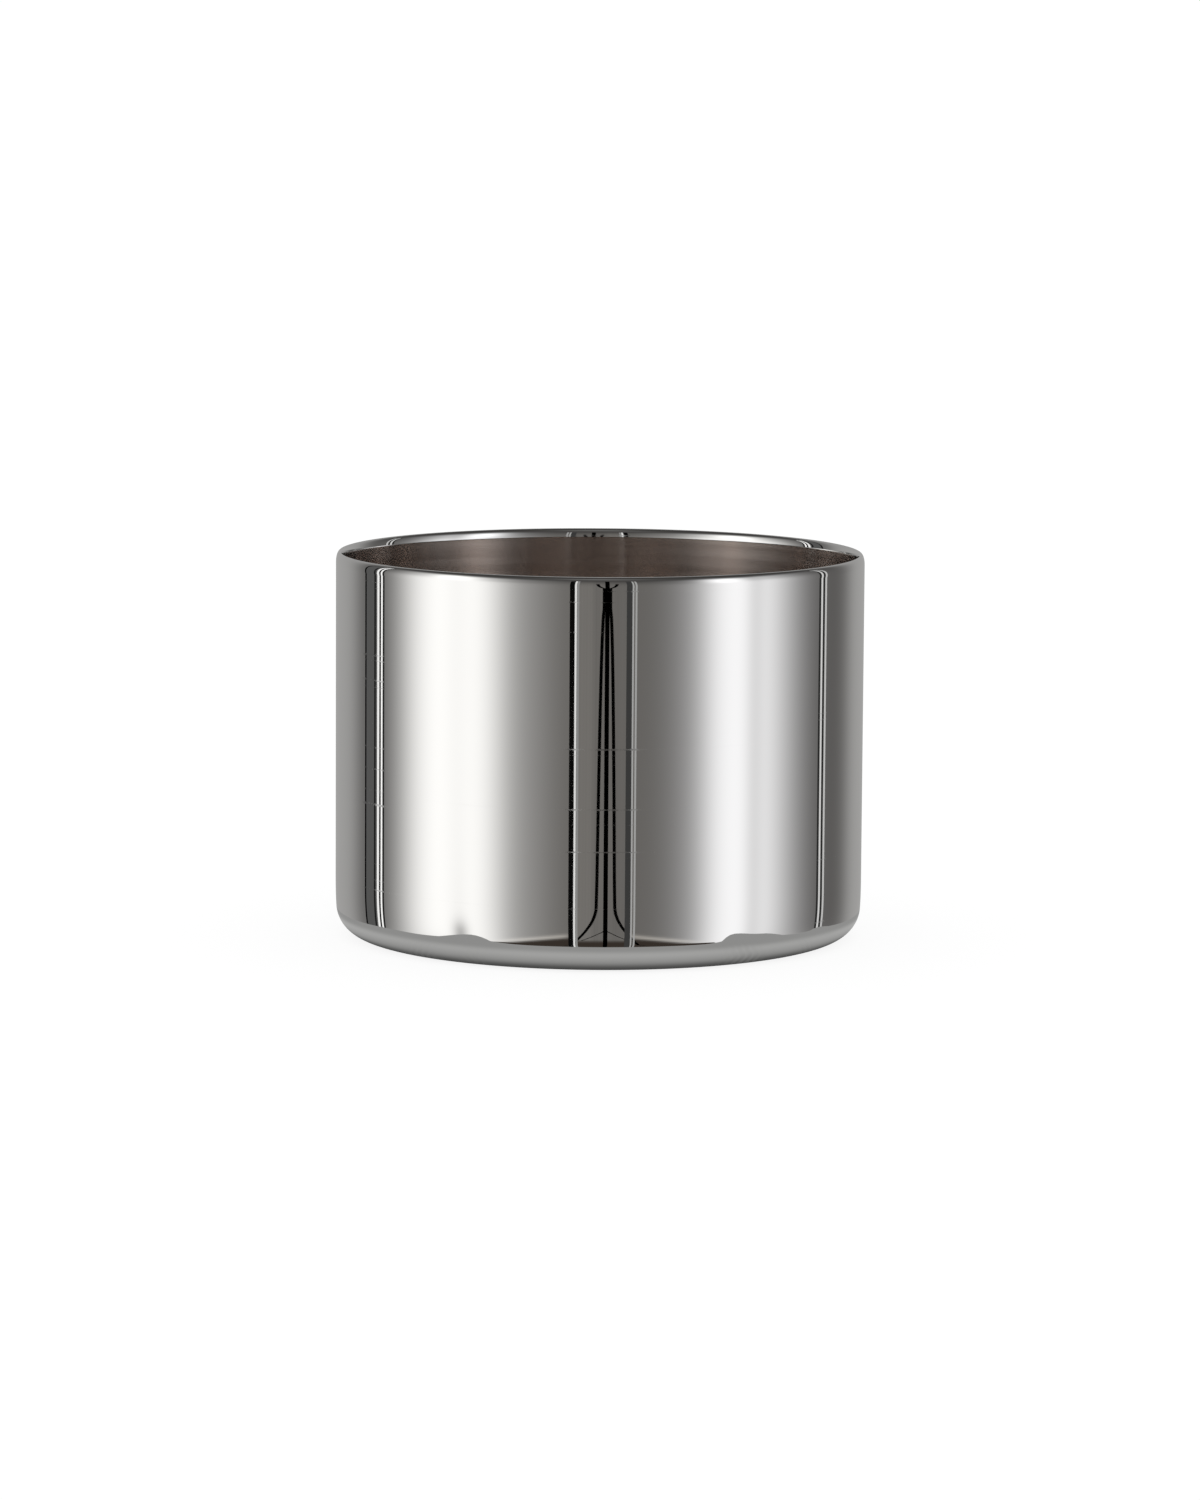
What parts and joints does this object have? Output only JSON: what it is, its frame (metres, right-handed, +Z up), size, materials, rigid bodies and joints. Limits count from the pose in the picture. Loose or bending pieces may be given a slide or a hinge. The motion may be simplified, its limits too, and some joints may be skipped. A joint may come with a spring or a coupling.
{
  "type": "candle tin",
  "caption": "Open straight-sided round metal cup with rounded base corner, inward-rolled rim, mirror plating outside and a thin lacquer coat inside; holds a poured candle.",
  "frame": {"origin": "centre of the resting face, on the cup's axis", "axes": "+Z up along the cup's axis, out of the open mouth; X and Y are equivalent, as the cup is round"},
  "size_m": [0.096, 0.096, 0.07],
  "materials": {
    "plated_sheet": "mirror-bright silver to gunmetal plating on drawn sheet, with hair-fine vertical draw marks and rubbing marks",
    "inside_lacquer": "satin brownish lacquer over the bare sheet, with soft broad reflections"
  },
  "bodies": {
    "root": {"drawn_cup": "plated_sheet", "inner_coat": "inside_lacquer"}
  },
  "joints": []
}
